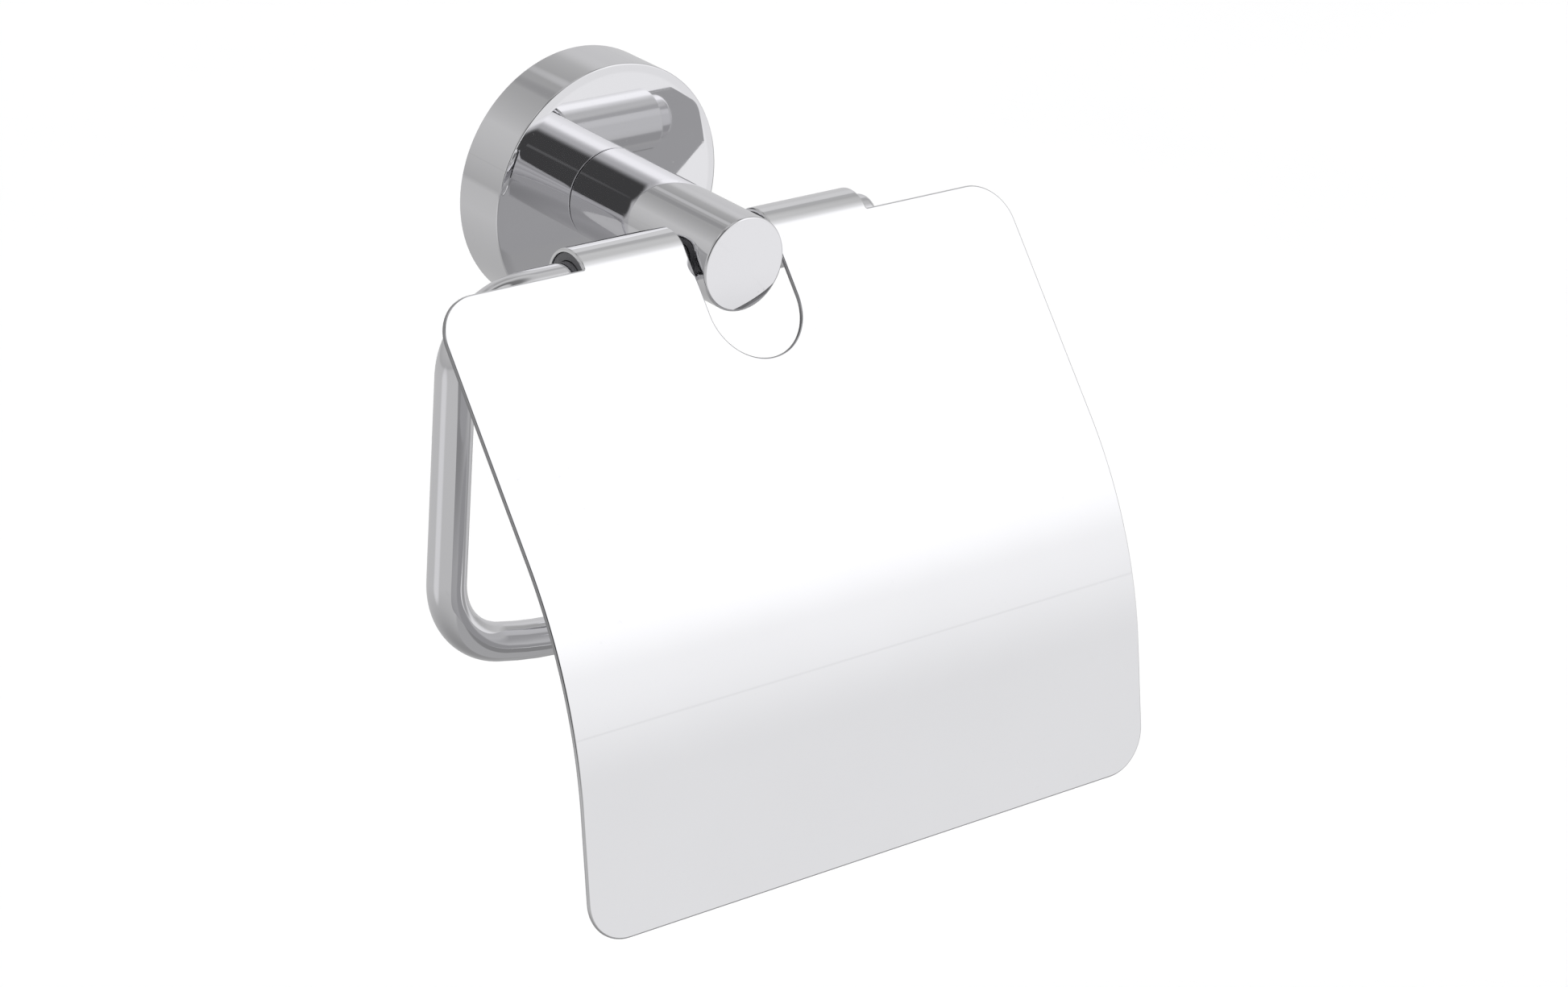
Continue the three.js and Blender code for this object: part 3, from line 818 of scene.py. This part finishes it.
def studio_world():
    """A plain white studio for the camera; soft boxes and grey cards for the reflections."""
    world = bpy.data.worlds.new("studio")
    bpy.context.scene.world = world
    world.use_nodes = True
    world.node_tree.nodes.clear()
    nodes = Tree(world.node_tree)
    place = nodes.add("ShaderNodeTexCoord").outputs["Generated"]
    split = nodes.add("ShaderNodeSeparateXYZ")
    nodes.link(place, split.inputs["Vector"])
    height = split.outputs["Z"]

    ramp = nodes.add("ShaderNodeValToRGB")
    nodes.link(nodes.remap(height, -1, 1, 0, 1), ramp.inputs["Fac"])
    elements = ramp.color_ramp.elements
    while len(elements) < len(STUDIO_HEIGHTS):
        elements.new(0.5)
    for element, (z, value) in zip(elements, STUDIO_HEIGHTS):
        element.position = (z + 1) / 2
        element.color = (value, value, value, 1)

    radiance = ramp.outputs["Color"]
    for azimuth, elevation, core, rim, value in STUDIO_CARDS:
        towards = nodes.add("ShaderNodeVectorMath", operation="DOT_PRODUCT")
        nodes.link(place, towards.inputs[0])
        towards.inputs[1].default_value = direction(azimuth, elevation)
        limits = (math.cos(math.radians(rim)), math.cos(math.radians(core)))
        fade = nodes.remap(towards.outputs["Value"], *limits, 0, 1, "SMOOTHSTEP")
        radiance = nodes.colours(fade, radiance, (value, value, value * CARD_BLUE))

    seam = nodes.add("ShaderNodeMath", operation="COMPARE")
    nodes.link(height, seam.inputs[0])
    seam.inputs[1].default_value = SEAM_HEIGHT
    seam.inputs[2].default_value = SEAM_HALF
    studio = nodes.add("ShaderNodeBackground")
    nodes.link(radiance, studio.inputs["Color"])
    nodes.link(nodes.remap(seam.outputs["Value"], 0, 1, 1, SEAM_BRIGHTNESS), studio.inputs["Strength"])

    backdrop = nodes.add("ShaderNodeBackground")
    backdrop.inputs["Color"].default_value = (1, 1, 1, 1)
    backdrop.inputs["Strength"].default_value = BACKDROP
    chosen = nodes.add("ShaderNodeMixShader")
    nodes.link(nodes.add("ShaderNodeLightPath").outputs["Is Camera Ray"], chosen.inputs["Fac"])
    nodes.link(studio.outputs["Background"], chosen.inputs[1])
    nodes.link(backdrop.outputs["Background"], chosen.inputs[2])
    nodes.link(chosen.outputs["Shader"], nodes.add("ShaderNodeOutputWorld").inputs["Surface"])


def soft_light(name, azimuth, elevation, spread, strength):
    """A wide distant light. Its own shape doesn't show in the chrome."""
    data = bpy.data.lights.new(name, "SUN")
    data.angle = math.radians(spread)
    data.energy = strength
    light = new_object(name, data)
    light.rotation_euler = direction(azimuth, elevation).to_track_quat("Z", "Y").to_euler()
    light.visible_glossy = False


def photo_camera():
    """The camera that the photograph was taken with, as it was solved from the object's outlines."""
    low, high = (Vector(corner) for corner in CAD_BOX)
    azimuth, elevation, roll = -40.6, 24.0, 4.3
    distance = 0.872
    aim = (low + high) / 2 + Vector((5.4, -12.4, -7.0)) * MM
    back = direction(azimuth, elevation)
    level = Vector((0, 0, 1)).cross(back).normalized()
    upright = back.cross(level)
    turned = math.radians(roll)
    right = math.cos(turned) * level + math.sin(turned) * upright
    up = back.cross(right)
    data = bpy.data.cameras.new("camera")
    data.sensor_width = 36
    data.lens = 100.8
    data.clip_end = 50
    camera = new_object("camera", data)
    axes = Matrix((right, up, back)).transposed().to_4x4()
    camera.matrix_world = Matrix.Translation(aim + distance * back) @ axes
    bpy.context.scene.camera = camera


pale_floor()
studio_world()
soft_light("overhead light", 20, 70, 60, 1.6)
soft_light("side light", -70, 25, 50, 0.8)
photo_camera()
bpy.context.scene.view_settings.view_transform = "Standard"
